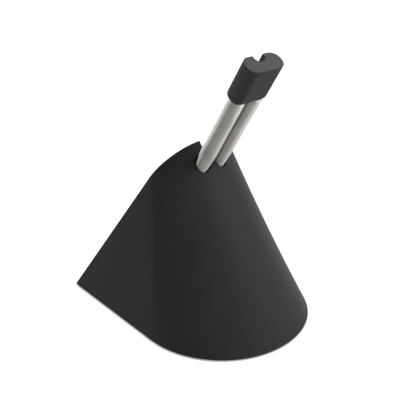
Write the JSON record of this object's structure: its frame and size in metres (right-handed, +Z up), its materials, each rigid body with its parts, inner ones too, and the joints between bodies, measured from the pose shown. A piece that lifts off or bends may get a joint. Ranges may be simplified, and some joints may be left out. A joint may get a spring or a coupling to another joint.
{
  "type": "mouse bungee",
  "caption": "Weighted tent-shaped foot with a leaning twin-spring arm and a rubber head that holds a computer mouse's cable off the desk.",
  "frame": {"origin": "on the floor under the middle of the foot, where the sole rests", "axes": "+Z up, -Y towards the round nose that the arm leans over, +X across the foot"},
  "size_m": [0.0798, 0.0994, 0.1208],
  "materials": {
    "shell": "dark grey soft-touch matte",
    "base_plastic": "black moulded, finely textured",
    "sole": "matte anti-slip",
    "ballast": "stamped plate, lightly oiled",
    "socket": "die-cast, blasted",
    "fastener": "zinc plated",
    "spring": "satin spring wire",
    "head": "dark grey matte rubber"
  },
  "bodies": {
    "base": {"housing_shell": "shell", "rear_cover": "shell", "base_plate": "base_plastic", "sole_pad": "sole", "ballast_lower": "ballast", "ballast_upper": "ballast", "ballast_washers": "fastener", "ballast_screws": "fastener", "base_screws": "fastener", "cover_screws": "fastener", "spring_socket": "socket", "socket_screws": "fastener", "grub_screws": "fastener", "spring_left": "spring", "spring_right": "spring", "root_pin_left": "fastener", "root_pin_right": "fastener"},
    "arm_head": {"cord_head": "head", "tip_pin_left": "fastener", "tip_pin_right": "fastener"}
  },
  "joints": [
    {"name": "arm_flex", "type": "hinge", "parent": "base", "child": "arm_head", "pos_m": [0, -0.01003, 0.08192], "axis": [1, 0, 0], "range_deg": [-20, 30], "stiffness_Nm_per_rad": 0.06, "springref_deg": -1, "deforming": ["spring_left", "spring_right"]}
  ]
}
